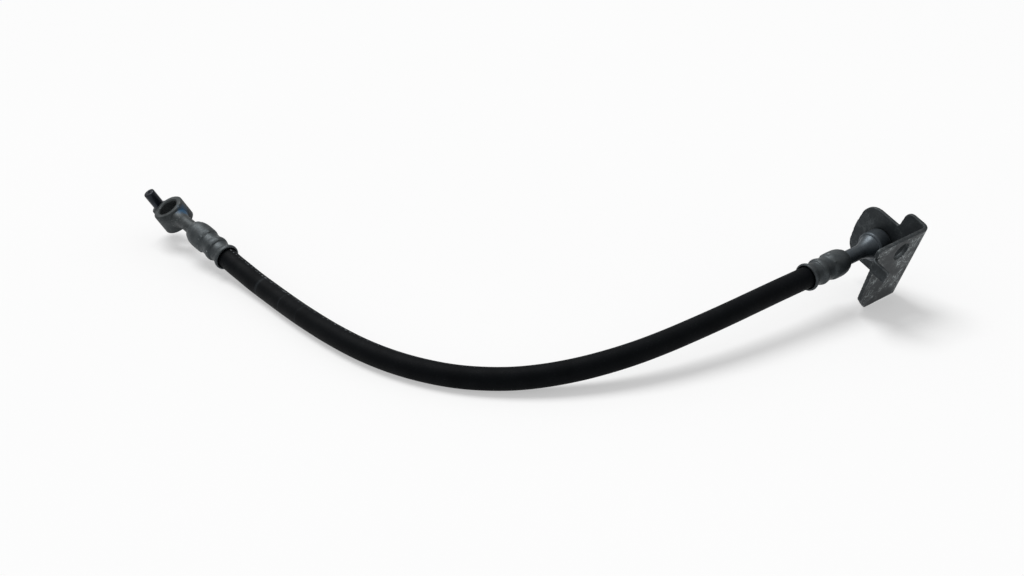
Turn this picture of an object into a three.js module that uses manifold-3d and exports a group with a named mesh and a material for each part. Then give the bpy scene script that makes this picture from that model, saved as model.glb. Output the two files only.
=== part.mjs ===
// A flexible brake line: a rubber hose with a banjo fitting crimped on one end, and on the other end
// a female fitting that sits in a folded sheet bracket. Millimetres, +Z up, lying on the plane z = 0.
import * as THREE from "three";
import { mergeVertices } from "three/addons/utils/BufferGeometryUtils.js";
import Module from "manifold-3d";

const wasm = await Module();
wasm.setup();

// Clearances
const SEAT_GAP = 0.3; // between pieces that touch on the real line
const CUT_MARGIN = 2; // how far a cutting tool runs past the face it cuts
const SAME_POINT = 0.05; // sizes closer than this count as equal

// Hose
const HOSE_D = 10.5;
const HOSE_BORE_D = 3.4;
const SQUEEZED_D = 9.4; // the rubber where the ferrule squeezes it
const HOSE_IN_MOUTH = 1.5; // length of full-size hose inside the ferrule's flared mouth
const SQUEEZE_OVERLAP = 0.5; // how far the squeezed end runs back into the full-size hose
const HOSE_DRILL_PAST_MOUTH = 1; // how far the bore is drilled past the mouth, into the hose
const HOSE_SIDES = 12;
const BORE_SIDES = 8;
const HOSE_STEPS = 36;

// The hose's centreline, from the mouth of the banjo's ferrule to the mouth of the bracket's ferrule.
const ROUTE = [
  [-139.1, 117.5, 9.4],
  [-135.2, 113.1, 8.2],
  [-129.2, 106.2, 6.95],
  [-121.5, 96.7, 5.85],
  [-113.1, 86.1, 5.35],
  [-103.0, 72.8, 5.27],
  [-92.6, 59.6, 5.27],
  [-76.5, 41.0, 5.27],
  [-61.3, 26.2, 5.27],
  [-47.0, 15.4, 5.27],
  [-33.2, 7.8, 5.27],
  [-19.8, 2.8, 5.3],
  [-6.6, 0.1, 5.6],
  [6.6, -0.8, 6.2],
  [19.7, 0.0, 7.3],
  [32.8, 2.3, 8.7],
  [46.0, 6.0, 10.4],
  [59.6, 11.2, 12.3],
  [73.4, 18.0, 14.35],
  [87.5, 26.3, 16.4],
  [102.2, 35.9, 18.35],
  [117.2, 46.8, 20.0],
  [129.8, 56.3, 21.2],
  [137.4, 62.2, 21.75],
  [144.3, 67.6, 22.2],
];
const MIDDLE = [6.65, 83.45]; // the middle of the line's outline in plan, which is the part's origin

// How the two ends point: degrees from +X, and degrees up from the floor
const BANJO_AZIMUTH = 133.5;
const BANJO_RISE = 11.5;
const BRACKET_AZIMUTH = 39.2;
const BRACKET_RISE = 2.9;
const BRACKET_ROLL = 21.7; // the bracket's turn about the fitting's axis

// Crimped ferrules, from the mouth (0) to the shoulder
const BANJO_FERRULE_L = 30;
const BRACKET_FERRULE_L = 27;
const FERRULE_MOUTH_D = 13.6;
const FERRULE_WAIST_D = 11.2; // groove next to the mouth
const FERRULE_RIDGE_D = 13.1;
const FERRULE_GROOVE_D = 11.8; // groove in the middle
const FERRULE_BODY_D = 13.5;
const FERRULE_END_D = 10.2; // flat end round the neck
const FERRULE_END_WALL = 2.2;
const MOUTH_FLARE = 0.9; // how far the bore opens at the mouth
const FLARE_L = 4.6; // where the flare starts, from the mouth
const FLARE_KNEE_L = 2.2; // where it gets flatter, and how far it has opened there
const FLARE_KNEE_SHARE = 0.6;
const CRIMP_JAWS = 8;
const CRIMP_DEPTH = 0.35;
const FERRULE_SIDES = 40;
const WAIST_AT = 0.19; // middles of the two grooves, as shares of the ferrule's length
const GROOVE_AT = 0.5;
const BAND_HALF = 0.035; // half the flat bottom of the waist, as a share too
const GROOVE_HALF = 0.0325; // half the flat bottom of the groove
const GROOVE_LEAN = 0.0225; // how far it lies to the mouth's side
const JAW_SPREAD = 0.075;

// Necks and nipples of the two fittings
const NECK_D = 7.2;
const NIPPLE_D = HOSE_BORE_D - 2 * SEAT_GAP;
const NIPPLE_L = 24; // from the ferrule's end wall into the hose
const PASSAGE_D = 1.5; // the fluid's way through neck and nipple

// Banjo eye
const EYE_D = 17;
const EYE_BORE_D = 10.4;
const EYE_HEIGHT = 12;
const EYE_CHAMFER = 0.7;
const EYE_ROLL = -30.4; // turn of the eye about the hose's end
const EYE_BEND = 17.6; // bend between the neck and the eye's plane
const NECK_BEFORE_BEND = 7.9;
const NECK_AFTER_BEND = 7.9;

// Locating pin and the lug that holds it
const PIN_D = 6;
const PIN_STICK_OUT = 7.6; // above the eye's sealing face
const PIN_TIP = 0.6; // the tip's rounding, in two chamfers
const PIN_TIP_KNEE = 0.3; // as a share of the rounding
const PIN_SIDE_TURN = 6; // degrees round the eye from the point opposite the neck
const LUG_WALL = 1.5;
const LUG_DROP = 3; // the lug's top lies this far below the sealing face
const LUG_FLOOR = 1.2;

// Female fitting, from the ferrule's shoulder to the bracket
const SHOULDER_TO_BRACKET = 28; // from the ferrule's shoulder to the bracket's face
const BRACKET_FACE_X = BRACKET_FERRULE_L + SHOULDER_TO_BRACKET;
const COLLAR_D = 14.8;
const COLLAR_L = 8;
const COLLAR_CHAMFER = 0.7;
const CONE_L = 7;
const CONE_D = 12.6;
const CONE_HOLLOW_AT = 0.45; // where the hollow of the cone is deepest, as a share of it from the collar
const CONE_HOLLOW_STEP = 1.1; // the cone's height over the neck there
const SPIGOT_D = 13;
const SPIGOT_PAST_BRACKET = 2.2;
const PORT_D = 9; // bore of the M10 x 1 thread
const PORT_DEPTH = 11;
const PORT_CONE_L = 2.2; // seat of the pipe's flare
const TURNED_SIDES = 36;

// Bracket, in its own frame: x along the fitting, z up along the folded leaf
const SHEET = 1.9;
const BEND_R = 3.8; // outside of each fold
const LEAF_OFFSET = 19; // from the fitting's axis to the leaf's outer face
const BASE_SIDE = 15.8; // from the axis to the base's free side
const BASE_SIDE_ARCH = 0.7; // how far that side bulges
const BASE_TOP = 14.8;
const BASE_LOW_R = 9;
const BASE_TOP_R = 9;
const BRACKET_LOW = -18;
const BRACKET_TOP = 25.3;
const EAR_ROOT_Y = -4.8; // where the ear rises from the base's top edge
const EAR_TIP_Y = -5.3;
const EAR_R = 4;
const NOTCH_R = 1.5;
const LEAF_LENGTH = 36; // from the base's face towards the hose
const LEAF_TOP_R = 3;
const LEAF_WAIST_X = 33.8; // the leaf's near edge just below the tab, from where it tapers
const LEAF_TAPER = 2.5;
const LEAF_CORNER_Z = -9.5;
const LEAF_CORNER_X = 23.5;
const TAB_FACE = 37.5; // from the base's face to the tab's face
const TAB_BOTTOM_Z = 13.5;
const TAB_TOP_Z = 20;
const TAB_RELIEF = 0.8;
const TAB_REACH = 9; // how far the tab stands out of the leaf
const BOLT_HOLE_D = 10;
const BOLT_HOLE_X = 15.5;
const BOLT_HOLE_Z = 17;
const HOLE_SIDES = 32;
const BEND_POINTS = 6;

// Materials
const zincSteel = (color, roughness) => new THREE.MeshStandardMaterial({ color, roughness, metalness: 0.85 });
const MATERIALS = {
  rubber: new THREE.MeshStandardMaterial({ color: 0x17191b, roughness: 0.75, metalness: 0 }),
  forging: zincSteel(0x5d6264, 0.5),
  ferrule: zincSteel(0x666b6d, 0.45),
  turned: zincSteel(0x5a5f62, 0.42),
  sheet: zincSteel(0x5f6466, 0.5),
  pin: zincSteel(0x2e353d, 0.4),
};

// Turns a closed three.js geometry into a solid that can be joined and cut.
function solid(geometry) {
  const bare = geometry.clone();
  bare.deleteAttribute("normal");
  bare.deleteAttribute("uv");
  const merged = mergeVertices(bare, 1e-4);
  const vertProperties = new Float32Array(merged.attributes.position.array);
  const triVerts = new Uint32Array(merged.index.array);
  return new wasm.Manifold(new wasm.Mesh({ numProp: 3, vertProperties, triVerts }));
}

// Turns a solid back into a geometry.
function geometryOf(made) {
  const { vertProperties, triVerts } = made.getMesh();
  const geometry = new THREE.BufferGeometry();
  geometry.setAttribute("position", new THREE.BufferAttribute(vertProperties, 3));
  geometry.setIndex(new THREE.BufferAttribute(triVerts, 1));
  geometry.computeVertexNormals();
  return geometry;
}

function meshOf(name, made, material) {
  const mesh = new THREE.Mesh(geometryOf(made), material);
  mesh.name = name;
  return mesh;
}

const turn = (degrees) => THREE.MathUtils.degToRad(degrees);
const points = (pairs) => pairs.map(([a, b]) => new THREE.Vector2(a, b));

// A turned body about the x axis, from a closed outline of [x, radius] pairs.
function turnedGeometry(outline, sides) {
  const profile = outline.map(([x, r]) => new THREE.Vector2(r, x));
  return new THREE.LatheGeometry(profile, sides).rotateZ(-Math.PI / 2);
}
const turned = (outline, sides = TURNED_SIDES) => solid(turnedGeometry(outline, sides));

// A round bar or drill about the x axis.
const bar = (x0, x1, radius, sides = TURNED_SIDES) =>
  turned([[x0, 0], [x0, radius], [x1, radius], [x1, 0]], sides);

// A flat plate: an outline of three.js Vector2 points, extruded from 0 to depth along z.
const plate = (outline, depth) =>
  new THREE.ExtrudeGeometry(new THREE.Shape(outline), { depth, bevelEnabled: false });

// Points of an arc, both ends included.
function arc(cx, cy, radius, fromDegrees, toDegrees, count = BEND_POINTS) {
  const list = [];
  for (let i = 0; i <= count; i += 1) {
    const angle = turn(fromDegrees + ((toDegrees - fromDegrees) * i) / count);
    list.push([cx + radius * Math.cos(angle), cy + radius * Math.sin(angle)]);
  }
  return list;
}

// Evenly spaced points round a circle.
function circle(radius, sides) {
  const at = (i) => new THREE.Vector2(Math.cos(turn((360 * i) / sides)), Math.sin(turn((360 * i) / sides)));
  return Array.from({ length: sides }, (_, i) => at(i).multiplyScalar(radius));
}

// The frame of a hose end: x runs from the ferrule's mouth away from the hose.
function endFrame(mouth, azimuth, rise, roll = 0) {
  const frame = new THREE.Group();
  frame.position.set(...mouth);
  frame.rotation.set(turn(roll), -turn(rise), turn(azimuth), "ZYX");
  frame.updateMatrix();
  return frame;
}
const banjoEnd = endFrame(ROUTE[0], BANJO_AZIMUTH, BANJO_RISE);
const bracketEnd = endFrame(ROUTE[ROUTE.length - 1], BRACKET_AZIMUTH, BRACKET_RISE);

// Where the rubber ends inside a ferrule, short of its end wall
const rubberEnd = (ferruleLength) => ferruleLength - FERRULE_END_WALL - SEAT_GAP;

// The hose follows its route, with straight squeezed ends inside the ferrules.
function makeHose() {
  const along = (frame, x) => new THREE.Vector3(x, 0, 0).applyMatrix4(frame.matrix);
  const route = ROUTE.slice(1, -1).map((p) => new THREE.Vector3(...p));
  const path = new THREE.CatmullRomCurve3([along(banjoEnd, HOSE_IN_MOUTH), along(banjoEnd, 0), ...route,
    along(bracketEnd, 0), along(bracketEnd, HOSE_IN_MOUTH)], false, "centripetal");
  const ring = new THREE.Shape(circle(HOSE_D / 2, HOSE_SIDES));
  ring.holes.push(new THREE.Path(circle(HOSE_BORE_D / 2, BORE_SIDES)));
  let made = solid(new THREE.ExtrudeGeometry(ring, { steps: HOSE_STEPS, extrudePath: path }));
  for (const [frame, ferruleLength] of [[banjoEnd, BANJO_FERRULE_L], [bracketEnd, BRACKET_FERRULE_L]]) {
    const inner = HOSE_BORE_D / 2;
    const last = rubberEnd(ferruleLength);
    const start = HOSE_IN_MOUTH - SQUEEZE_OVERLAP;
    const end = turnedGeometry([[start, inner], [start, SQUEEZED_D / 2], [last, SQUEEZED_D / 2], [last, inner],
      [start, inner]], TURNED_SIDES).applyMatrix4(frame.matrix);
    const drill = turnedGeometry([[-HOSE_DRILL_PAST_MOUTH, 0], [-HOSE_DRILL_PAST_MOUTH, inner],
      [last + CUT_MARGIN, inner], [last + CUT_MARGIN, 0]], TURNED_SIDES).applyMatrix4(frame.matrix);
    made = made.add(solid(end)).subtract(solid(drill));
  }
  return made;
}

// A ferrule: a sleeve squeezed by eight jaws into two grooves, with a flared mouth.
function makeFerrule(length) {
  const bore = SQUEEZED_D / 2 + SEAT_GAP;
  const half = (diameter, less = 0) => diameter / 2 - less;
  const outside = [
    [0, half(FERRULE_MOUTH_D, 0.35)], [0.02, half(FERRULE_MOUTH_D)], [0.05, half(FERRULE_MOUTH_D)],
    [0.1, half(FERRULE_MOUTH_D, 0.6)], [WAIST_AT - BAND_HALF, half(FERRULE_WAIST_D)],
    [WAIST_AT + BAND_HALF, half(FERRULE_WAIST_D)],
    [0.28, half(FERRULE_RIDGE_D, 0.25)], [0.33, half(FERRULE_RIDGE_D)], [0.38, half(FERRULE_RIDGE_D, 0.2)],
    [GROOVE_AT - GROOVE_HALF - GROOVE_LEAN, half(FERRULE_GROOVE_D)],
    [GROOVE_AT + GROOVE_HALF - GROOVE_LEAN, half(FERRULE_GROOVE_D)],
    [0.575, half(FERRULE_BODY_D, 0.3)],
    [0.655, half(FERRULE_BODY_D)], [0.78, half(FERRULE_BODY_D)], [0.88, half(FERRULE_BODY_D, 0.3)],
    [0.95, half(FERRULE_BODY_D, 1)], [0.985, half(FERRULE_END_D, -0.3)], [1, half(FERRULE_END_D, 0.3)],
  ].map(([share, radius]) => [share * length, radius]);
  const wallFace = length - FERRULE_END_WALL;
  const inside = [
    [length, NECK_D / 2 + SEAT_GAP], [wallFace, NECK_D / 2 + SEAT_GAP], [wallFace, bore], [FLARE_L, bore],
    [FLARE_KNEE_L, bore + MOUTH_FLARE * FLARE_KNEE_SHARE], [0, bore + MOUTH_FLARE],
  ];
  const geometry = turnedGeometry([...outside, ...inside, outside[0]], FERRULE_SIDES);
  const position = geometry.getAttribute("position");
  for (let i = 0; i < position.count; i += 1) {
    const [x, y, z] = [position.getX(i), position.getY(i), position.getZ(i)];
    const radius = Math.hypot(y, z);
    if (radius < bore + MOUTH_FLARE + SAME_POINT) continue; // the bore stays round
    const near = (share) => Math.exp(-(((x / length - share) / JAW_SPREAD) ** 2));
    const squeeze = CRIMP_DEPTH * Math.min(near(WAIST_AT) + near(GROOVE_AT), 1);
    const jaw = (1 + Math.cos(CRIMP_JAWS * Math.atan2(z, y))) / 2;
    const scale = 1 - (squeeze * jaw - CRIMP_DEPTH / 2) / radius;
    position.setY(i, y * scale);
    position.setZ(i, z * scale);
  }
  return solid(geometry);
}

// Where the nipple ends inside the hose
const nippleTip = (ferruleLength) => ferruleLength - FERRULE_END_WALL - NIPPLE_L;

// The neck's end inside its ferrule, and its nipple in the hose.
function neckAndNipple(ferruleLength, neckEnd) {
  const wallFace = ferruleLength - FERRULE_END_WALL;
  const tip = nippleTip(ferruleLength);
  return [[tip, 0], [tip, NIPPLE_D / 2], [wallFace, NIPPLE_D / 2],
    [wallFace, NECK_D / 2], [neckEnd, NECK_D / 2]];
}

// The eye's own frame, in the banjo end's frame: origin in the eye's middle, z along the bolt.
const KNUCKLE_X = BANJO_FERRULE_L + NECK_BEFORE_BEND;
const EYE_FROM_KNUCKLE = EYE_D / 2 + NECK_AFTER_BEND;
const eyeFrame = new THREE.Group();
eyeFrame.rotation.set(turn(EYE_ROLL), turn(EYE_BEND), 0, "XYZ");
eyeFrame.position.set(EYE_FROM_KNUCKLE, 0, 0).applyEuler(eyeFrame.rotation).add(new THREE.Vector3(KNUCKLE_X, 0, 0));
eyeFrame.updateMatrix();

const PIN_FROM_EYE = EYE_D / 2 + SEAT_GAP + PIN_D / 2;
const LUG_R = PIN_D / 2 + SEAT_GAP + LUG_WALL;
const LUG_TOP = EYE_HEIGHT / 2 - LUG_DROP;
const PIN_BOTTOM = -EYE_HEIGHT / 2 + LUG_FLOOR + SEAT_GAP;

// A round bar along z, in the eye's frame.
function upright(x, z0, z1, radius, sides = TURNED_SIDES) {
  const geometry = turnedGeometry([[z0, 0], [z0, radius], [z1, radius], [z1, 0]], sides);
  return geometry.rotateY(-Math.PI / 2).translate(x, 0, 0);
}

function makeBanjoFitting() {
  const half = EYE_HEIGHT / 2;
  const rim = EYE_D / 2;
  const edge = half - EYE_CHAMFER;
  const eye = turnedGeometry([[-half, 0], [-half, rim - EYE_CHAMFER], [-edge, rim], [edge, rim],
    [half, rim - EYE_CHAMFER], [half, 0]], TURNED_SIDES).rotateY(-Math.PI / 2);
  const bore = EYE_BORE_D / 2;
  const drill = turnedGeometry([[-half - CUT_MARGIN, 0], [-half - CUT_MARGIN, bore + EYE_CHAMFER + CUT_MARGIN],
    [-edge, bore], [edge, bore], [half + CUT_MARGIN, bore + EYE_CHAMFER + CUT_MARGIN],
    [half + CUT_MARGIN, 0]], TURNED_SIDES).rotateY(-Math.PI / 2);
  const lugWeb = plate(points([[0, -LUG_R], [PIN_FROM_EYE, -LUG_R], [PIN_FROM_EYE, LUG_R], [0, LUG_R]]),
    LUG_TOP + half).translate(0, 0, -half).rotateZ(turn(PIN_SIDE_TURN));
  const lugEnd = upright(PIN_FROM_EYE, -half, LUG_TOP, LUG_R).rotateZ(turn(PIN_SIDE_TURN));
  const pinHole = upright(PIN_FROM_EYE, PIN_BOTTOM - SEAT_GAP, half + PIN_STICK_OUT, PIN_D / 2 + SEAT_GAP)
    .rotateZ(turn(PIN_SIDE_TURN));
  const bentNeck = turnedGeometry([[-EYE_FROM_KNUCKLE, 0], [-EYE_FROM_KNUCKLE, NECK_D / 2], [0, NECK_D / 2], [0, 0]],
    TURNED_SIDES);
  const bentPassage = turnedGeometry([[-EYE_FROM_KNUCKLE, 0], [-EYE_FROM_KNUCKLE, PASSAGE_D / 2], [0, PASSAGE_D / 2],
    [0, 0]], BORE_SIDES);
  const inEye = (geometry) => solid(geometry.applyMatrix4(eyeFrame.matrix));
  const ball = new THREE.SphereGeometry(NECK_D / 2, TURNED_SIDES / 2, TURNED_SIDES / 4).translate(KNUCKLE_X, 0, 0);
  return inEye(eye)
    .add(inEye(lugWeb))
    .add(inEye(lugEnd))
    .add(inEye(bentNeck))
    .add(solid(ball))
    .add(turned([...neckAndNipple(BANJO_FERRULE_L, KNUCKLE_X), [KNUCKLE_X, 0]]))
    .subtract(inEye(drill))
    .subtract(inEye(pinHole))
    .subtract(inEye(bentPassage))
    .subtract(bar(nippleTip(BANJO_FERRULE_L) - CUT_MARGIN, KNUCKLE_X, PASSAGE_D / 2, BORE_SIDES));
}

function makeLocatingPin() {
  const top = EYE_HEIGHT / 2 + PIN_STICK_OUT;
  const knee = PIN_TIP * PIN_TIP_KNEE;
  const pin = turnedGeometry([[PIN_BOTTOM, 0], [PIN_BOTTOM, PIN_D / 2], [top - PIN_TIP, PIN_D / 2],
    [top - knee, PIN_D / 2 - knee], [top, PIN_D / 2 - PIN_TIP], [top, 0]], TURNED_SIDES / 2)
    .rotateY(-Math.PI / 2).translate(PIN_FROM_EYE, 0, 0).rotateZ(turn(PIN_SIDE_TURN));
  return solid(pin.applyMatrix4(eyeFrame.matrix));
}

function makeFemaleFitting() {
  const back = BRACKET_FACE_X - SEAT_GAP; // the collar's flat, against the bracket
  const front = back - COLLAR_L;
  const end = BRACKET_FACE_X + SHEET + SPIGOT_PAST_BRACKET;
  const body = turned([
    ...neckAndNipple(BRACKET_FERRULE_L, front - CONE_L),
    [front - CONE_L * CONE_HOLLOW_AT, NECK_D / 2 + CONE_HOLLOW_STEP],
    [front, CONE_D / 2],
    [front, COLLAR_D / 2 - COLLAR_CHAMFER],
    [front + COLLAR_CHAMFER, COLLAR_D / 2],
    [back, COLLAR_D / 2],
    [back, SPIGOT_D / 2],
    [end, SPIGOT_D / 2],
    [end, 0],
  ]);
  const floor = end - PORT_DEPTH;
  const port = turned([[floor - PORT_CONE_L, 0], [floor - PORT_CONE_L, PASSAGE_D / 2], [floor, PORT_D / 2],
    [end + CUT_MARGIN, PORT_D / 2], [end + CUT_MARGIN, 0]]);
  const passage = bar(nippleTip(BRACKET_FERRULE_L) - CUT_MARGIN, floor, PASSAGE_D / 2, BORE_SIDES);
  return body.subtract(port).subtract(passage);
}

// The bracket: an angle folded from one sheet, cut to its two outlines, with a tab folded out of the leaf.
function makeBracket() {
  const inner = BEND_R - SHEET;
  const leafFace = -LEAF_OFFSET;
  const height = BRACKET_TOP - BRACKET_LOW;
  const side = BASE_SIDE + CUT_MARGIN;
  const bendX = SHEET - BEND_R;
  const bendY = leafFace + BEND_R;
  const angle = plate(points([
    [0, side], ...arc(bendX, bendY, inner, 0, -90), [-TAB_FACE, leafFace + SHEET], [-TAB_FACE, leafFace],
    ...arc(bendX, bendY, BEND_R, -90, 0), [SHEET, side],
  ]), height).translate(0, 0, BRACKET_LOW);

  // The base's outline, in the plane across the fitting, with the ear at the leaf's side
  const left = leafFace - CUT_MARGIN;
  const base = plate(points([
    [left, BRACKET_LOW],
    ...arc(BASE_SIDE - BASE_LOW_R, BRACKET_LOW + BASE_LOW_R, BASE_LOW_R, -90, 0),
    [BASE_SIDE + BASE_SIDE_ARCH, (BRACKET_LOW + BASE_LOW_R + BASE_TOP - BASE_TOP_R) / 2],
    ...arc(BASE_SIDE - BASE_TOP_R, BASE_TOP - BASE_TOP_R, BASE_TOP_R, 0, 90),
    ...arc(EAR_ROOT_Y + NOTCH_R, BASE_TOP + NOTCH_R, NOTCH_R, -90, -180, 3),
    ...arc(EAR_TIP_Y - EAR_R, BRACKET_TOP - EAR_R, EAR_R, 0, 90),
    [left, BRACKET_TOP],
  ]), 2 * (TAB_FACE + CUT_MARGIN)).applyMatrix4(
    new THREE.Matrix4().makeBasis(new THREE.Vector3(0, 1, 0), new THREE.Vector3(0, 0, 1), new THREE.Vector3(1, 0, 0)))
    .translate(-TAB_FACE - CUT_MARGIN, 0, 0);

  // The leaf's outline, seen along y
  const tabRootX = -TAB_FACE + BEND_R;
  const leaf = plate(points([
    [SHEET + CUT_MARGIN, BRACKET_LOW], [SHEET + CUT_MARGIN, BRACKET_TOP],
    ...arc(-LEAF_LENGTH + LEAF_TOP_R, BRACKET_TOP - LEAF_TOP_R, LEAF_TOP_R, 90, 180),
    [-LEAF_LENGTH, TAB_TOP_Z + TAB_RELIEF], [tabRootX, TAB_TOP_Z + TAB_RELIEF],
    [tabRootX, TAB_BOTTOM_Z - TAB_RELIEF], [-LEAF_WAIST_X, TAB_BOTTOM_Z - TAB_RELIEF],
    [-LEAF_WAIST_X + LEAF_TAPER, LEAF_CORNER_Z], [-LEAF_CORNER_X, BRACKET_LOW],
  ].reverse()), 2 * (side + LEAF_OFFSET)).applyMatrix4(
    new THREE.Matrix4().makeBasis(new THREE.Vector3(1, 0, 0), new THREE.Vector3(0, 0, 1), new THREE.Vector3(0, -1, 0)))
    .translate(0, side + LEAF_OFFSET, 0);

  // The tab, folded out of the leaf's near edge
  const tabBendY = leafFace + SHEET - BEND_R;
  const tab = plate(points([
    [tabRootX + CUT_MARGIN, leafFace], [tabRootX + CUT_MARGIN, leafFace + SHEET],
    ...arc(tabRootX, tabBendY, BEND_R, 90, 180), [-TAB_FACE, leafFace - TAB_REACH],
    [-TAB_FACE + SHEET, leafFace - TAB_REACH], ...arc(tabRootX, tabBendY, inner, 180, 90),
  ].reverse()), TAB_TOP_Z - TAB_BOTTOM_Z).translate(0, 0, TAB_BOTTOM_Z);

  const boltHole = bar(-CUT_MARGIN, SHEET + CUT_MARGIN, BOLT_HOLE_D / 2, HOLE_SIDES);
  const turnedHole = geometryOf(boltHole).rotateZ(Math.PI / 2).translate(-BOLT_HOLE_X, leafFace, BOLT_HOLE_Z);
  const spigotHole = bar(-CUT_MARGIN, SHEET + CUT_MARGIN, SPIGOT_D / 2 + SEAT_GAP);
  return solid(angle)
    .intersect(solid(base))
    .intersect(solid(leaf))
    .add(solid(tab))
    .subtract(solid(turnedHole))
    .subtract(spigotHole);
}

const line = new THREE.Group();
const lying = new THREE.Group();
lying.position.set(-MIDDLE[0], -MIDDLE[1], 0);
line.add(lying);

lying.add(meshOf("hose", makeHose(), MATERIALS.rubber));

banjoEnd.add(meshOf("banjo_ferrule", makeFerrule(BANJO_FERRULE_L), MATERIALS.ferrule));
banjoEnd.add(meshOf("banjo_fitting", makeBanjoFitting(), MATERIALS.forging));
banjoEnd.add(meshOf("locating_pin", makeLocatingPin(), MATERIALS.pin));
lying.add(banjoEnd);

bracketEnd.add(meshOf("bracket_ferrule", makeFerrule(BRACKET_FERRULE_L), MATERIALS.ferrule));
bracketEnd.add(meshOf("female_fitting", makeFemaleFitting(), MATERIALS.turned));
const bracketMesh = meshOf("bracket", makeBracket(), MATERIALS.sheet);
bracketMesh.position.set(BRACKET_FACE_X, 0, 0);
bracketMesh.rotation.set(turn(BRACKET_ROLL), 0, 0);
bracketEnd.add(bracketMesh);
lying.add(bracketEnd);

export default line;
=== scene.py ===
# %% [markdown]
# # A flexible brake line
# The solids of the line come from a CAD model. They have the right sizes, but few faces and plain
# colours. This lesson keeps their places and sizes, and gives each piece the shape, edges and finish of
# the real one.

# %% Load the solids
import math

import bmesh
import bpy
import numpy as np
from mathutils import Matrix, Vector


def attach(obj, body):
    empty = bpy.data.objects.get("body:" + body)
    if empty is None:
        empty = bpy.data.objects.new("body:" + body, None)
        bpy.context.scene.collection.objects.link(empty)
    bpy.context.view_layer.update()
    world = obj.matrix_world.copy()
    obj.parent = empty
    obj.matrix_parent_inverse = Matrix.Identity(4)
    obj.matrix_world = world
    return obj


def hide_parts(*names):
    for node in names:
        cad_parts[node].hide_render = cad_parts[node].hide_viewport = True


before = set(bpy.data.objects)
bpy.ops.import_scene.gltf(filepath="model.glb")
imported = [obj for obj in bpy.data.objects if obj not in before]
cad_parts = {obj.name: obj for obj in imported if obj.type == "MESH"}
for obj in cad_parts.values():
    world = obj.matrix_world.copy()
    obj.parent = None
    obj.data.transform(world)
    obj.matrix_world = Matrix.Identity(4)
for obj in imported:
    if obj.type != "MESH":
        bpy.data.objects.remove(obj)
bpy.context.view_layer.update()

MM = 0.001
print("solids:", ", ".join(sorted(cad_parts)))

# %% [markdown]
# ## The camera
# The photograph looks down on the line from in front, with a fairly long lens. A camera could be aimed
# with a constraint, but three plain numbers for its place and one angle are easier to read and to check.

# %% Place the camera
LENS_MM = 51.89
CAMERA_PLACE = (-0.001406, -0.645644, 0.323937)
CAMERA_TILT = 64.0  # degrees from looking straight down

camera_data = bpy.data.cameras.new("camera")
camera_data.sensor_width = 36.0
camera_data.lens = LENS_MM
camera = bpy.data.objects.new("camera", camera_data)
camera.location = CAMERA_PLACE
camera.rotation_euler = (math.radians(CAMERA_TILT), 0, 0)
bpy.context.scene.collection.objects.link(camera)
bpy.context.scene.camera = camera
print("camera looks down by", 90 - CAMERA_TILT, "degrees")

# %% [markdown]
# ## Where the two ends point
# Each end of the hose has its own frame: x starts at the ferrule's mouth and runs on through the ferrule,
# away from the hose's middle. What belongs to that end is placed from this frame, in millimetres.

# %% Frames of the two ends
BANJO_MOUTH = (-145.75, 34.05, 9.4)
BRACKET_MOUTH = (137.65, -15.85, 22.2)
BANJO_AZIMUTH, BANJO_RISE = 133.5, 11.5
BRACKET_AZIMUTH, BRACKET_RISE = 39.2, 2.9


def turn(axis, degrees):
    return Matrix.Rotation(math.radians(degrees), 4, axis)


def end_place(mouth, azimuth, rise):
    return Matrix.Translation(mouth) @ turn("Z", azimuth) @ turn("Y", -rise)


banjo_place = end_place(BANJO_MOUTH, BANJO_AZIMUTH, BANJO_RISE)
bracket_place = end_place(BRACKET_MOUTH, BRACKET_AZIMUTH, BRACKET_RISE)
print("banjo end points to", [round(v, 3) for v in banjo_place.col[0][:3]])

# %% [markdown]
# ## A smooth line through chosen points
# A hose lies in long, even bends. A Catmull-Rom curve goes through every point that it is given, and its
# centripetal kind makes no loops between points at uneven distances, so it suits a hose well.


# %% Draw a smooth line through points
def smooth_through(points, steps):
    given = np.array(points, float)
    ends = [2 * given[0] - given[1], *given, 2 * given[-1] - given[-2]]
    line = []
    for p0, p1, p2, p3 in zip(ends, ends[1:], ends[2:], ends[3:]):
        knots = [0.0]
        for a, b in ((p0, p1), (p1, p2), (p2, p3)):
            knots.append(knots[-1] + max(np.linalg.norm(b - a), 1e-9) ** 0.5)
        t0, t1, t2, t3 = knots
        for t in np.linspace(t1, t2, steps, endpoint=False):
            a1 = ((t1 - t) * p0 + (t - t0) * p1) / (t1 - t0)
            a2 = ((t2 - t) * p1 + (t - t1) * p2) / (t2 - t1)
            a3 = ((t3 - t) * p2 + (t - t2) * p3) / (t3 - t2)
            b1 = ((t2 - t) * a1 + (t - t0) * a2) / (t2 - t0)
            b2 = ((t3 - t) * a2 + (t - t1) * a3) / (t3 - t1)
            line.append(((t2 - t) * b1 + (t - t1) * b2) / (t2 - t1))
    line.append(given[-1])
    return np.array(line)


print("a bend through 3 points gets", len(smooth_through([(0, 0), (1, 0), (1, 1)], 8)), "points")
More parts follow.
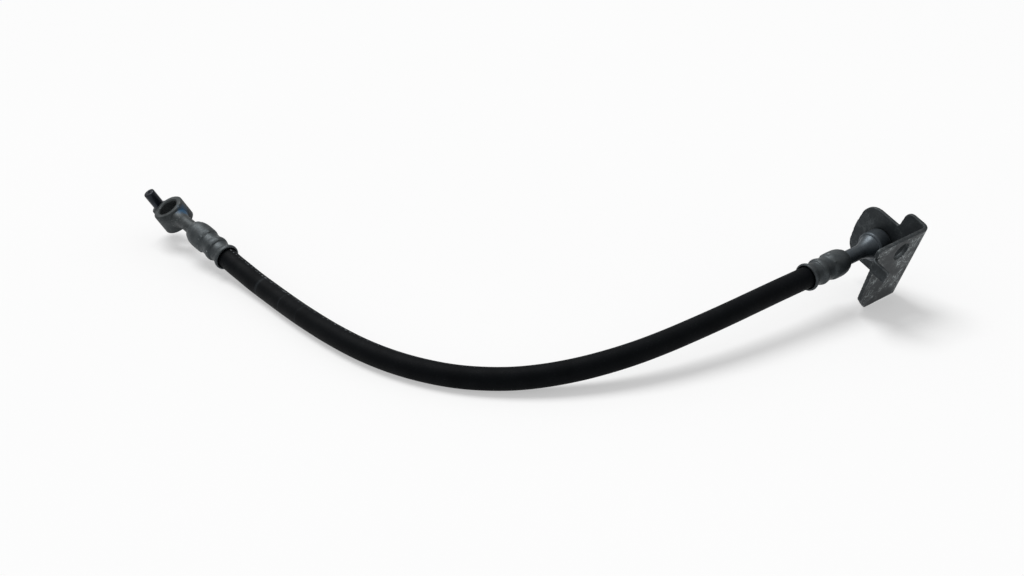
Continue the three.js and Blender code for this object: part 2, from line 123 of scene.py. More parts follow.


# %% [markdown]
# ## Pieces from points and faces
# Most pieces of the line are swept along a line or turned on a lathe, so two small makers serve for them.
# Only the sheet of the bracket needs another. One more helper puts a finished mesh in its place, in
# metres, joins it to the frame and hides the CAD solid that it stands for.


# %% Sweep a round section along a line
def swept(centres, radii, sides, bore=0.0):
    centres = np.array(centres, float)
    along = np.gradient(centres, axis=0)
    along /= np.linalg.norm(along, axis=1)[:, None]
    side = np.cross(along[0], (0, 0, 1.0))
    side /= np.linalg.norm(side)
    skins = [radii, [bore] * len(radii)] if bore else [radii]
    points = [[] for _ in skins]
    for centre, forward, index in zip(centres, along, range(len(centres))):
        side = side - forward * (side @ forward)
        side /= np.linalg.norm(side)
        up = np.cross(side, forward)
        for skin, sizes in zip(points, skins):
            for k in range(sides):
                angle = 2 * math.pi * k / sides
                skin.append(centre + sizes[index] * (math.cos(angle) * side + math.sin(angle) * up))
    faces = []
    for s, skin in enumerate(points):
        start = s * len(points[0])
        for i in range(len(centres) - 1):
            for k in range(sides):
                a, b = start + i * sides + k, start + i * sides + (k + 1) % sides
                face = (a, b, b + sides, a + sides)
                faces.append(face if s else face[::-1])
    last = (len(centres) - 1) * sides
    if bore:
        inner = len(points[0])
        for k in range(sides):
            n = (k + 1) % sides
            faces.append((k, n, inner + n, inner + k))
            faces.append((last + n, last + k, inner + last + k, inner + last + n))
    else:
        faces.append(tuple(range(sides)))
        faces.append(tuple(range(last + sides - 1, last - 1, -1)))
    return [tuple(p) for skin in points for p in skin], faces


print("a short pipe of 12 sides has", len(swept([(0, 0, 0), (1, 0, 0)], [2, 2], 12, bore=1)[1]), "faces")


# %% Turn an outline on a lathe
def softened(outline, fillet=0.25, steps=4):
    """Rounds the corners of a closed outline of (x, radius) or (x, radius, fillet) points."""
    rounded = []
    count = len(outline)
    for i, corner in enumerate(outline):
        here = np.array(corner[:2], float)
        size = corner[2] if len(corner) > 2 else fillet
        before, after = (np.array(outline[(i + d) % count][:2], float) - here for d in (-1, 1))
        lengths = [np.linalg.norm(before), np.linalg.norm(after)]
        if abs(here[1]) < 1e-6 or size <= 0 or min(lengths) < 1e-6:
            rounded.append(tuple(here))
            continue
        start = here + before / lengths[0] * min(size, 0.45 * lengths[0])
        end = here + after / lengths[1] * min(size, 0.45 * lengths[1])
        for t in np.linspace(0, 1, steps + 1):
            rounded.append(tuple((1 - t) ** 2 * start + 2 * t * (1 - t) * here + t * t * end))
    return rounded


def turned(outline, sides=96, shape=None):
    """Points and faces of a body turned about x. shape(x, radius, angle) may press marks into it."""
    points, faces = [], []
    for x, radius in outline:
        for k in range(sides):
            angle = 2 * math.pi * k / sides
            size = shape(x, radius, angle) if shape else radius
            points.append((x, size * math.cos(angle), size * math.sin(angle)))
    for i in range(len(outline)):
        if outline[i][1] == outline[(i + 1) % len(outline)][1] == 0:
            continue  # this stretch lies on the axis
        here, after = i * sides, ((i + 1) % len(outline)) * sides
        for k in range(sides):
            n = (k + 1) % sides
            faces.append((here + k, here + n, after + n, after + k))
    return points, faces


print("a square corner, rounded, has", len(softened([(0, 1), (0, 2), (1, 2), (1, 1)])), "points in all")


# %% Put a finished mesh in its place
def clean(mesh):
    work = bmesh.new()
    work.from_mesh(mesh)
    bmesh.ops.remove_doubles(work, verts=work.verts, dist=1e-5)
    bmesh.ops.dissolve_degenerate(work, edges=work.edges, dist=1e-6)
    bmesh.ops.recalc_face_normals(work, faces=work.faces)
    work.to_mesh(mesh)
    work.free()


def blank(points, faces, place=Matrix()):
    """A loose working object, in millimetres."""
    mesh = bpy.data.meshes.new("blank")
    mesh.from_pydata([place @ Vector(p) for p in points], [], faces)
    clean(mesh)
    made = bpy.data.objects.new("blank", mesh)
    bpy.context.scene.collection.objects.link(made)
    return made


def finished(made, name, material, node, place=Matrix(), crease=40):
    """Names a working object, moves its points into place in metres and joins it to the frame."""
    made.name = made.data.name = name
    made.data.transform(Matrix.Scale(MM, 4) @ place)
    made.data.shade_smooth()
    made.data.set_sharp_from_angle(angle=math.radians(crease))
    made.data.materials.clear()
    made.data.materials.append(material)
    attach(made, "root")
    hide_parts(node)
    print(name, "has", len(made.data.polygons), "faces")
    return made


print("working objects are made in millimetres, and finished ones are", MM, "times that")


# %% [markdown]
# ## Effects that several finishes share
# Metal that has been handled is never one flat tone. Three effects make most of the difference: a fine
# grain, edges rubbed brighter, and a little dust on what faces up. Each is a node group with named inputs,
# built once, so every finish can use it with values of its own.


# %% Node helpers
def add(tree, kind, inputs=(), **settings):
    made = tree.nodes.new(kind)
    for key, value in settings.items():
        setattr(made, key, value)
    for key, value in dict(inputs).items():
        if isinstance(value, bpy.types.NodeSocket):
            tree.links.new(value, made.inputs[key])
        else:
            made.inputs[key].default_value = value
    return made


def effect(name, inputs, outputs):
    """A new node group, with its sockets made from (name, kind, value) and (name, kind) lists."""
    tree = bpy.data.node_groups.new(name, "ShaderNodeTree")
    for label, kind, value in inputs:
        socket = tree.interface.new_socket(name=label, in_out="INPUT", socket_type=kind)
        if value is not None:
            socket.default_value = value
    for label, kind in outputs:
        tree.interface.new_socket(name=label, in_out="OUTPUT", socket_type=kind)
    return tree, tree.nodes.new("NodeGroupInput").outputs, tree.nodes.new("NodeGroupOutput").inputs


def ramp(tree, value, low, high, to_low=0.0, to_high=1.0):
    """Maps low..high to to_low..to_high, and holds at the ends."""
    return add(tree, "ShaderNodeMapRange", {0: value, 1: low, 2: high, 3: to_low, 4: to_high}).outputs[0]


print("a group's sockets come from lists, so every finish can set its own values")


# %% Sums and textures
def maths(tree, operation, a, b=0.0):
    return add(tree, "ShaderNodeMath", {0: a, 1: b}, operation=operation).outputs[0]


def times(tree, a, b):
    return maths(tree, "MULTIPLY", a, b)


def noise(tree, place, size, detail, **more):
    """A noise texture's value. More inputs come by name, such as Roughness or Distortion."""
    inputs = {"Vector": place, "Scale": size, "Detail": detail, **more}
    return add(tree, "ShaderNodeTexNoise", inputs).outputs[0]


print("a texture's numbers are linked or set in one line")


# %% Grain: a fine tone and height, as on forged or plated metal
grain_tree, taken, given = effect(
    "grain",
    [("Place", "NodeSocketVector", None), ("Fine size", "NodeSocketFloat", 2500.0),
     ("Cloud size", "NodeSocketFloat", 160.0)],
    [("Tone", "NodeSocketFloat"), ("Height", "NodeSocketFloat")],
)
FINE_SHARE = 0.35  # of the tone. The clouds give the rest
fine = noise(grain_tree, taken["Place"], taken["Fine size"], 3.0)
cloud = noise(grain_tree, taken["Place"], taken["Cloud size"], 5.0, Roughness=0.65)
fine_part = ramp(grain_tree, fine, 0.3, 0.7, 0.0, FINE_SHARE)
cloud_part = ramp(grain_tree, cloud, 0.3, 0.7, 0.0, 1 - FINE_SHARE)
grain_tree.links.new(maths(grain_tree, "ADD", fine_part, cloud_part), given["Tone"])
grain_tree.links.new(fine, given["Height"])
print("grain group has", len(grain_tree.nodes), "nodes")

# %% Edge wear: a mask that is bright where an edge has been rubbed
wear_tree, taken, given = effect(
    "edge wear",
    [("Place", "NodeSocketVector", None), ("Start", "NodeSocketFloat", 0.53),
     ("Full", "NodeSocketFloat", 0.6)],
    [("Mask", "NodeSocketFloat")],
)
bend = add(wear_tree, "ShaderNodeNewGeometry").outputs["Pointiness"]
edge = ramp(wear_tree, bend, taken["Start"], taken["Full"])
patches = ramp(wear_tree, noise(wear_tree, taken["Place"], 700.0, 4.0), 0.38, 0.6)
wear_tree.links.new(times(wear_tree, edge, patches), given["Mask"])
print("edge wear group has", len(wear_tree.nodes), "nodes")

# %% Dust: a thin grey film on what faces up
dust_tree, taken, given = effect(
    "dust",
    [("Place", "NodeSocketVector", None), ("Amount", "NodeSocketFloat", 0.3)],
    [("Mask", "NodeSocketFloat")],
)
normal = add(dust_tree, "ShaderNodeNewGeometry").outputs["Normal"]
upward = add(dust_tree, "ShaderNodeSeparateXYZ", {0: normal}).outputs[2]
specks = noise(dust_tree, taken["Place"], 420.0, 6.0, Roughness=0.7)
film = times(dust_tree, ramp(dust_tree, upward, 0.1, 1.0), ramp(dust_tree, specks, 0.4, 0.75))
dust_tree.links.new(times(dust_tree, film, taken["Amount"]), given["Mask"])
print("dust group has", len(dust_tree.nodes), "nodes")

# %% [markdown]
# ## Finishes
# The metal is plated steel gone dull: a dark, slightly blue grey. A Principled shader with a fairly high
# metallic value and broad roughness gives that. Only what changes over the surface is linked. What is the
# same everywhere is set on the shader itself.


# %% Mix two tones
def blend_colour(tree, factor, a, b):
    made = add(tree, "ShaderNodeMix", {0: factor}, data_type="RGBA")
    for index, value in ((6, a), (7, b)):
        if isinstance(value, bpy.types.NodeSocket):
            tree.links.new(value, made.inputs[index])
        else:
            made.inputs[index].default_value = (*value, 1.0)
    return made.outputs[2]


def new_material(name):
    material = bpy.data.materials.new(name)
    material.use_nodes = True
    tree = material.node_tree
    return material, tree, tree.nodes["Principled BSDF"]


def use_effect(tree, group, inputs):
    made = tree.nodes.new("ShaderNodeGroup")
    made.node_tree = group
    place = add(tree, "ShaderNodeTexCoord").outputs["Object"]
    tree.links.new(place, made.inputs["Place"])
    for key, value in inputs.items():
        made.inputs[key].default_value = value
    return made.outputs


print("groups to choose from:", [group.name for group in bpy.data.node_groups])


# %% A dull plated metal, with grain, worn edges and dust
DUST_TONE = (0.17, 0.175, 0.17)
SHEEN_SPREAD = 0.08  # how far the roughness strays either way


def plated(name, dark, light, rubbed, roughness, metallic=0.75, bump=0.12, dust=0.3, fine=2500.0,
           cloud=160.0):
    material, tree, shader = new_material(name)
    grain = use_effect(tree, grain_tree, {"Fine size": fine, "Cloud size": cloud})
    wear = use_effect(tree, wear_tree, {})
    film = use_effect(tree, dust_tree, {"Amount": dust})
    tone = blend_colour(tree, grain["Tone"], dark, light)
    worn = blend_colour(tree, wear["Mask"], tone, rubbed)
    dusty = blend_colour(tree, film["Mask"], worn, DUST_TONE)
    tree.links.new(dusty, shader.inputs["Base Color"])
    sheen = ramp(tree, grain["Tone"], 0.0, 1.0, roughness + SHEEN_SPREAD, roughness - SHEEN_SPREAD)
    tree.links.new(sheen, shader.inputs["Roughness"])
    relief = add(tree, "ShaderNodeBump", {"Height": grain["Height"], "Strength": bump, "Distance": 0.0001})
    tree.links.new(relief.outputs[0], shader.inputs["Normal"])
    shader.inputs["Metallic"].default_value = metallic
    return material, tree, shader, dusty


ferrule_metal = plated(
    "ferrule metal", (0.028, 0.034, 0.038), (0.084, 0.096, 0.102), (0.22, 0.24, 0.25), 0.54)[0]
turned_metal = plated(
    "turned metal", (0.034, 0.043, 0.051), (0.092, 0.109, 0.125), (0.24, 0.27, 0.29), 0.46)[0]
pin_metal = plated(
    "dark pin", (0.005, 0.007, 0.011), (0.018, 0.023, 0.034), (0.11, 0.12, 0.13), 0.36,
    metallic=0.6, dust=0.1)[0]
print("finishes so far:", [m.name for m in bpy.data.materials if m.node_tree])

# %% [markdown]
# ## The hose
# A brake hose is rubber over woven cord. It is stiff, so it keeps the long bow that it was bent to, and its
# ends are squeezed inside the ferrules. A curve with a bevel would be the quick way. A swept mesh is used
# here, because it can narrow inside the ferrules and has a bore, as the real one has.

# %% The hose's route, from mouth to mouth, in metres
ROUTE = [
    (-0.14575, 0.03405, 0.0094), (-0.14185, 0.02965, 0.0082), (-0.13585, 0.02275, 0.00695),
    (-0.12815, 0.01325, 0.00585), (-0.11975, 0.00265, 0.00535), (-0.10965, -0.01065, 0.00527),
    (-0.09925, -0.02385, 0.00527), (-0.08315, -0.04245, 0.00527), (-0.06795, -0.05725, 0.00527),
    (-0.05365, -0.06805, 0.00527), (-0.03985, -0.07565, 0.00527), (-0.02645, -0.08065, 0.0053),
    (-0.01325, -0.08335, 0.0056), (-0.00005, -0.08425, 0.0062), (0.01305, -0.08345, 0.0073),
    (0.02615, -0.08115, 0.0087), (0.03935, -0.07745, 0.0104), (0.05295, -0.07225, 0.0123),
    (0.06675, -0.06545, 0.01435), (0.08085, -0.05715, 0.0164), (0.09555, -0.04755, 0.01835),
    (0.11055, -0.03665, 0.02), (0.12315, -0.02715, 0.0212), (0.13075, -0.02125, 0.02175),
    (0.13765, -0.01585, 0.0222),
]
HOSE_D = 10.5
SQUEEZED_D = 9.4
HOSE_BORE_D = 3.4
BANJO_FERRULE_L = 30.0
BRACKET_FERRULE_L = 27.0
RUBBER_SHORT_OF_END = 2.5  # how far inside the ferrule's shoulder the rubber stops
SQUEEZED_FROM = 2.6  # how far inside the mouth the squeezed part begins
FULL_FROM, FULL_TO = 2.0, 0.7  # how far inside the mouth it is still full
RINGS_INSIDE, STEPS_BETWEEN = 24, 8


def straight(place, start, stop, count):
    return [np.array(place @ Vector((x, 0, 0))) for x in np.linspace(start, stop, count)]


middle = smooth_through([
    *straight(banjo_place, FULL_FROM, FULL_TO, 2), *(np.array(ROUTE) / MM),
    *straight(bracket_place, FULL_TO, FULL_FROM, 2)], STEPS_BETWEEN)
left = straight(banjo_place, BANJO_FERRULE_L - RUBBER_SHORT_OF_END, SQUEEZED_FROM, RINGS_INSIDE)
right = straight(bracket_place, SQUEEZED_FROM, BRACKET_FERRULE_L - RUBBER_SHORT_OF_END, RINGS_INSIDE)
centres = np.array([*left, *middle, *right])
radii = [SQUEEZED_D / 2] * len(left) + [HOSE_D / 2] * len(middle) + [SQUEEZED_D / 2] * len(right)

# %% Rubber: near black and matte, with faint marks like those of a wrapping
rubber, tree, shader = new_material("rubber")
grain = use_effect(tree, grain_tree, {"Fine size": 1800.0, "Cloud size": 90.0})
film = use_effect(tree, dust_tree, {"Amount": 0.35})
along_hose = add(tree, "ShaderNodeUVMap", uv_map="along").outputs[0]


def laid_out(round_scale, along_scale):
    """The place round and along the hose, scaled for a texture."""
    scale = (round_scale, along_scale, 1.0)
    return add(tree, "ShaderNodeMapping", {"Vector": along_hose, "Scale": scale}).outputs[0]


wrap = noise(tree, laid_out(60.0, 900.0), 1.0, 2.0)
scuffed = ramp(tree, wrap, 0.55, 0.75)
worn = times(tree, scuffed, ramp(tree, grain["Tone"], 0.4, 0.8))
tone = blend_colour(tree, grain["Tone"], (0.0009, 0.0014, 0.0021), (0.0024, 0.0034, 0.0046))
marked = blend_colour(tree, worn, tone, (0.009, 0.0105, 0.012))
dusty = blend_colour(tree, times(tree, film["Mask"], scuffed), marked, (0.02, 0.021, 0.022))
ribs = maths(tree, "ADD", times(tree, wrap, 0.6), times(tree, grain["Height"], 0.4))
relief = add(tree, "ShaderNodeBump", {"Height": ribs, "Strength": 0.35, "Distance": 0.0002})
tree.links.new(relief.outputs[0], shader.inputs["Normal"])
tree.links.new(ramp(tree, grain["Tone"], 0.0, 1.0, 0.72, 0.55), shader.inputs["Roughness"])
shader.inputs["Specular IOR Level"].default_value = 0.07
print("rubber has", len(tree.nodes), "nodes so far")

# %% Rubber: faint rings round it, and a broken row of pale stitches along it
RING_MARKS = ((0.063, 0.0013), (0.085, 0.0007), (0.101, 0.0011))  # places and half widths, in metres
SEAM_AT = 0.29  # the seam's place round the hose: 0.25 is the top
SEAM_HALF, SEAM_EDGE = 0.009, 0.018  # in turns round the hose
FADES_FROM, FADES_TO, FADED = 0.12, 0.17, 0.15  # the stitches are worn off further along
places = add(tree, "ShaderNodeSeparateXYZ", {0: along_hose}).outputs
around, lengthwise = places[0], places[1]


def distance_from(value, place):
    return maths(tree, "ABSOLUTE", maths(tree, "SUBTRACT", value, place))


rings = 0.0
for place, width in RING_MARKS:
    ring = ramp(tree, distance_from(lengthwise, place), 0.0, width, 1.0, 0.0)
    rings = maths(tree, "ADD", rings, ring)
worn_rings = times(tree, rings, ramp(tree, grain["Tone"], 0.35, 0.75))
ringed = blend_colour(tree, worn_rings, dusty, (0.020, 0.024, 0.028))
near_seam = ramp(tree, distance_from(around, SEAM_AT), SEAM_HALF, SEAM_EDGE, 1.0, 0.0)
dashes = ramp(tree, noise(tree, laid_out(20.0, 650.0), 1.0, 2.0), 0.54, 0.62)
fading = ramp(tree, lengthwise, FADES_FROM, FADES_TO, 1.0, FADED)
stitches = times(tree, times(tree, near_seam, dashes), fading)
stitched = blend_colour(tree, stitches, ringed, (0.13, 0.14, 0.15))
tree.links.new(stitched, shader.inputs["Base Color"])
print("rubber has", len(RING_MARKS), "ring marks and", len(tree.nodes), "nodes")

HOSE_SIDES = 64
hose = blank(*swept(centres, radii, HOSE_SIDES, bore=HOSE_BORE_D / 2))
finished(hose, "rubber_hose", rubber, "hose")


def map_along(piece, line):
    """Adds a UV map that runs round the hose in turns and along it in metres, for marks that follow it."""
    reach = np.concatenate([[0], np.cumsum(np.linalg.norm(np.diff(line, axis=0), axis=1))])
    layer = piece.data.uv_layers.new(name="along")
    spots = np.array([v.co for v in piece.data.vertices])
    near = np.array([np.argmin(((line - spot) ** 2).sum(1)) for spot in spots])
    forward = np.gradient(line, axis=0)
    forward /= np.linalg.norm(forward, axis=1)[:, None]
    side = np.cross(forward, (0, 0, 1.0))
    side /= np.linalg.norm(side, axis=1)[:, None]
    up_way = np.cross(side, forward)
    off = spots - line[near]
    angle = np.arctan2((off * up_way[near]).sum(1), (off * side[near]).sum(1))
    for corner in piece.data.loops:
        v = corner.vertex_index
        layer.data[corner.index].uv = (angle[v] / math.tau, reach[near[v]])


map_along(hose, centres * MM)

# %% [markdown]
# ## The crimped ferrules
# A ferrule is a steel sleeve, squeezed onto the hose by eight jaws in two bands. It bulges between the
# bands, and its mouth flares so that the rubber isn't cut. It is turned from a smooth outline here, and
# eight marks are pressed into the slopes beside each band. The floors of the bands stay round.

# %% The outline of a ferrule
MOUTH_D, WAIST_D, RIDGE_D, GROOVE_D, BODY_D, END_D = 13.6, 11.2, 13.1, 11.8, 13.5, 10.2
NECK_D = 7.2
FERRULE_WALL = 2.2
PIECE_GAP = 0.3  # between two pieces that are really pressed together
FLARE_IN_L, FLARE_KNEE_L, LIP_L = 4.6, 2.2, 0.25  # the inside of the mouth opens in three steps
FLARE_KNEE, FLARE_LIP, FLARE_MOUTH = 0.54, 0.84, 1.05


def ferrule_outline(length):
    mouth, waist, ridge, groove = MOUTH_D / 2, WAIST_D / 2, RIDGE_D / 2, GROOVE_D / 2
    body, end = BODY_D / 2, END_D / 2
    outside = smooth_through([
        (0.0, mouth - 0.45), (0.012, mouth - 0.08), (0.035, mouth), (0.055, mouth - 0.1),
        (0.1, mouth - 0.6), (0.155, waist), (0.225, waist), (0.28, ridge - 0.25),
        (0.33, ridge), (0.38, ridge - 0.2), (0.445, groove + 0.02), (0.51, groove),
        (0.575, body - 0.3), (0.655, body), (0.78, body), (0.88, body - 0.3),
        (0.95, body - 1.0), (0.985, end + 0.3), (1.0, end - 0.3)], 6)
    bore = SQUEEZED_D / 2 + PIECE_GAP
    hole = NECK_D / 2 + PIECE_GAP
    shoulder = length - FERRULE_WALL
    inside = softened([
        (length, hole, 0), (shoulder, hole), (shoulder, bore), (FLARE_IN_L, bore),
        (FLARE_KNEE_L, bore + FLARE_KNEE), (LIP_L, bore + FLARE_LIP), (0.0, bore + FLARE_MOUTH, 0)])
    return [(x * length, r) for x, r in outside] + inside


print("a ferrule's outline has", len(ferrule_outline(BANJO_FERRULE_L)), "points")

# %% Press marks into the slopes beside the bands, and make both ferrules
WAIST_AT, GROOVE_AT, JAW_SPREAD = 0.19, 0.5, 0.075  # as shares of the ferrule's length
JAWS = 8
FLAT_DEPTH, RIB_HEIGHT, RIB_SHARE, MEAN_DEPTH = 0.55, 0.34, 0.14, 0.2
OUTSIDE_FROM = SQUEEZED_D / 2 + 1.45  # smaller radii stay round: the inside and the bands' floors


def jaw_marks(length):
    def shape(x, radius, angle):
        if radius < OUTSIDE_FROM:
            return radius
        press = sum(math.exp(-((x / length - at) / JAW_SPREAD) ** 2) for at in (WAIST_AT, GROOVE_AT))
        part = abs(((angle / math.tau * JAWS) % 1.0) - 0.5) * 2  # 0 in the middle of a jaw, 1 between two
        rib = RIB_HEIGHT * math.exp(-((1 - part) / RIB_SHARE) ** 2)
        flat = FLAT_DEPTH * (1 - part ** 2) - rib - MEAN_DEPTH
        return radius - min(press, 1.0) * flat
    return shape


for name, node, length, place in (
    ("ferrule_at_banjo", "banjo_ferrule", BANJO_FERRULE_L, banjo_place),
    ("ferrule_at_bracket", "bracket_ferrule", BRACKET_FERRULE_L, bracket_place),
):
    sleeve = blank(*turned(ferrule_outline(length), 128, jaw_marks(length)))
    finished(sleeve, name, ferrule_metal, node, place)

# %% [markdown]
# ## The banjo fitting
# The eye that the hollow bolt goes through, its neck and the lug for the pin are one forging, turned and
# drilled afterwards. Separate shapes would show hard seams where they meet. Here they are joined and cut as
# solids, remade from small even cells and smoothed a little, which rounds every edge as a forging's are.


# %% Join, cut and soften solids
def forged(adds, cuts, cell, rounds):
    body = adds[0]
    for other, job in [(o, "UNION") for o in adds[1:]] + [(o, "DIFFERENCE") for o in cuts]:
        step = body.modifiers.new(job, "BOOLEAN")
        step.operation, step.object, step.solver = job, other, "MANIFOLD"
    remade = body.modifiers.new("cells", "REMESH")
    remade.mode, remade.voxel_size = "VOXEL", cell
    eased = body.modifiers.new("eased", "SMOOTH")
    eased.factor, eased.iterations = 0.5, rounds
    shape = bpy.data.meshes.new_from_object(body.evaluated_get(bpy.context.evaluated_depsgraph_get()))
    for used in (*adds, *cuts):
        bpy.data.objects.remove(used)
    made = bpy.data.objects.new("forged", shape)
    bpy.context.scene.collection.objects.link(made)
    return made


def bar(x0, x1, radius, place=Matrix(), sides=64):
    return blank(*turned([(x0, 0), (x0, radius), (x1, radius), (x1, 0)], sides), place)


print("solids are joined and cut in millimetres, before they are put in their place")


# %% Sizes of the banjo fitting, and where its eye is
EYE_D, EYE_BORE_D, EYE_HEIGHT, EYE_CHAMFER = 17.0, 10.4, 12.0, 0.7
EYE_ROLL, EYE_BEND = -30.4, 17.6
NECK_BEFORE_BEND, NECK_AFTER_BEND = 7.9, 7.9
BEND_NEAR, BEND_FAR = 2.2, 4.5  # where the neck's line leaves its bend, each way
FLARE, FLARE_L = 1.3, 5.5  # how the neck widens into the eye
PIN_D, PIN_STICK_OUT, PIN_SIDE_TURN, PIN_GAP = 6.0, 7.6, 6.0, 0.3
PIN_EASE = 0.15  # how much wider the pin's hole is, all round
LUG_WALL, LUG_DROP, LUG_FLOOR = 1.5, 3.0, 1.2
NIPPLE_D, NIPPLE_L, PASSAGE_D = 2.8, 24.0, 1.5
NECK_SHORT_OF_BORE = 0.6  # where the neck ends inside the eye's wall
PASSAGE_FROM = 1.0  # from the ferrule's mouth, in the hose's bore
JOINED_BY = 1.0  # how far the nipple reaches into the neck
OVERCUT = 2.0  # how far a cutting solid reaches past what it cuts

KNUCKLE = BANJO_FERRULE_L + NECK_BEFORE_BEND
TO_EYE = EYE_D / 2 + NECK_AFTER_BEND
HALF = EYE_HEIGHT / 2
eye_place = (banjo_place @ Matrix.Translation((KNUCKLE, 0, 0)) @ turn("X", EYE_ROLL) @ turn("Y", EYE_BEND)
             @ Matrix.Translation((TO_EYE, 0, 0)))
UPRIGHT = turn("Y", -90)  # turns a lathe's x into the eye's z
pin_turn = turn("Z", PIN_SIDE_TURN)
PIN_FROM_EYE = EYE_D / 2 + PIN_GAP + PIN_D / 2
LUG_R = PIN_D / 2 + PIN_GAP + LUG_WALL
LUG_TOP = HALF - LUG_DROP
PIN_BOTTOM = -HALF + LUG_FLOOR + PIN_GAP
pin_axis = pin_turn @ Matrix.Translation((PIN_FROM_EYE, 0, 0)) @ UPRIGHT
print("the eye's middle is at", [round(v, 1) for v in eye_place.translation])

# %% The eye and the lug for the pin
rim, bore = EYE_D / 2, EYE_BORE_D / 2
eye = blank(*turned([
    (-HALF, 0), (-HALF, rim - EYE_CHAMFER), (EYE_CHAMFER - HALF, rim), (HALF - EYE_CHAMFER, rim),
    (HALF, rim - EYE_CHAMFER), (HALF, 0)], 128), UPRIGHT)
wide = bore + EYE_CHAMFER + OVERCUT
opening = blank(*turned([
    (-HALF - OVERCUT, 0), (-HALF - OVERCUT, wide), (EYE_CHAMFER - HALF, bore), (HALF - EYE_CHAMFER, bore),
    (HALF + OVERCUT, wide), (HALF + OVERCUT, 0)], 128), UPRIGHT)
web_outline = ((0, -LUG_R), (PIN_FROM_EYE, -LUG_R), (PIN_FROM_EYE, LUG_R), (0, LUG_R))
web = [(x, y, z) for z in (-HALF, LUG_TOP) for x, y in web_outline]
BOX_FACES = [(3, 2, 1, 0), (4, 5, 6, 7), (0, 1, 5, 4), (1, 2, 6, 5), (2, 3, 7, 6), (3, 0, 4, 7)]
print("the lug's wall round the pin is", LUG_WALL, "mm")

# %% The neck, the nipple and the passage, joined to the eye
to_end = eye_place.inverted() @ banjo_place
shoulder = BANJO_FERRULE_L - FERRULE_WALL
before = [to_end @ Vector((x, 0, 0)) for x in (shoulder, KNUCKLE - BEND_FAR, KNUCKLE - BEND_NEAR)]
after = [Vector((x, 0, 0)) for x in (-TO_EYE + BEND_NEAR, -TO_EYE + BEND_FAR, -bore - NECK_SHORT_OF_BORE)]
neck_line = smooth_through(before + after, 8)


def neck_radius(point):
    closeness = 1 - (np.linalg.norm(point) - rim) / FLARE_L
    return NECK_D / 2 + FLARE * min(1.0, max(0.0, closeness)) ** 2


neck = blank(*swept(neck_line, [neck_radius(point) for point in neck_line], 48))
nipple = bar(shoulder - NIPPLE_L, shoulder + JOINED_BY, NIPPLE_D / 2, to_end, 32)
passage_start = to_end @ Vector((PASSAGE_FROM, 0, 0))
passage_line = smooth_through([passage_start, before[-1], after[0], Vector((0, 0, 0))], 8)
passage = blank(*swept(passage_line, [PASSAGE_D / 2] * len(passage_line), 24))
adds = [eye, blank(web, BOX_FACES, pin_turn), bar(-HALF, LUG_TOP, LUG_R, pin_axis), neck, nipple]
pin_hole = bar(PIN_BOTTOM - PIN_GAP, HALF + PIN_STICK_OUT, PIN_D / 2 + PIN_EASE, pin_axis)
banjo = forged(adds, [opening, pin_hole, passage], cell=0.2, rounds=4)
print("the forging has", len(banjo.data.polygons), "small faces")

# %% A forged surface, with a dab of blue paint
DAB_PLACE = tuple(MM * v for v in eye_place @ Vector((-7.9, -3.3, 1.7)))
DAB_SIZE = 0.0039
DAB_EDGE, DAB_FADE = 1.1, 1.7  # times its size: where it starts to fade, and where it is gone
forging_metal, tree, shader, tone = plated("forged metal", (0.026, 0.031, 0.033), (0.080, 0.089, 0.092),
                                           (0.19, 0.21, 0.215), 0.6, bump=0.3, fine=1700.0)
spot = add(tree, "ShaderNodeTexCoord").outputs["Object"]
away = add(tree, "ShaderNodeVectorMath", {0: spot, 1: DAB_PLACE}, operation="DISTANCE").outputs["Value"]
ragged = times(tree, noise(tree, spot, 480.0, 4.0), DAB_SIZE * DAB_EDGE)
reach = maths(tree, "ADD", away, ragged)
dab = ramp(tree, reach, DAB_SIZE * DAB_EDGE, DAB_SIZE * DAB_FADE, 0.9, 0.0)
tree.links.new(blend_colour(tree, dab, tone, (0.0, 0.065, 0.15)), shader.inputs["Base Color"])
tree.links.new(ramp(tree, dab, 0.0, 0.8, 0.75, 0.05), shader.inputs["Metallic"])
finished(banjo, "banjo_forging", forging_metal, "banjo_fitting", eye_place, crease=60)

# %% [markdown]
# ## The locating pin
# A darker pin stands beside the eye and drops into a hole in the caliper, so that the fitting can't turn
# while its bolt is tightened. It is a plain turned pin with a rounded tip and a small centre hole.

# %% Make the pin
PIN_TOP = HALF + PIN_STICK_OUT
CENTRE_R, CENTRE_DEPTH = 1.2, 0.8  # the centre hole that the lathe leaves in the tip
pin_outline = softened([
    (PIN_BOTTOM, 0), (PIN_BOTTOM, PIN_D / 2), (PIN_TOP, PIN_D / 2, 0.7), (PIN_TOP, CENTRE_R, 0.15),
    (PIN_TOP - CENTRE_DEPTH, 0.3, 0.1), (PIN_TOP - CENTRE_DEPTH, 0)], steps=6)
pin = blank(*turned(pin_outline, 64), pin_axis)
finished(pin, "caliper_pin", pin_metal, "locating_pin", eye_place)

# %% [markdown]
# ## The female fitting
# The rigid pipe screws into this end. It is one turned piece: nipple, neck, cone, collar and a spigot with
# a thread inside. The thread is real geometry, a groove that winds along the port, because it shows from
# behind and a bump would vanish at that angle.

# %% Make the female fitting
FACE = 55.0  # from the ferrule's mouth to the bracket's face
COLLAR_D, COLLAR_L, CONE_L, CONE_D = 14.8, 8.0, 7.0, 12.6
CONE_HOLLOW_AT, CONE_HOLLOW_STEP = 0.45, 1.1  # the cone's hollow: a share of it, and its height there
FRONT_CHAMFER, FRONT_CHAMFER_L, BACK_CHAMFER = 0.7, 0.8, 0.4
SPIGOT_D, SPIGOT_OUT, SHEET = 13.0, 2.2, 1.9
PORT_D, PORT_DEPTH, PORT_SEAT_L, PITCH = 9.0, 11.0, 2.2, 1.0
SPIGOT_CHAMFER, PORT_CHAMFER = 0.5, 0.75

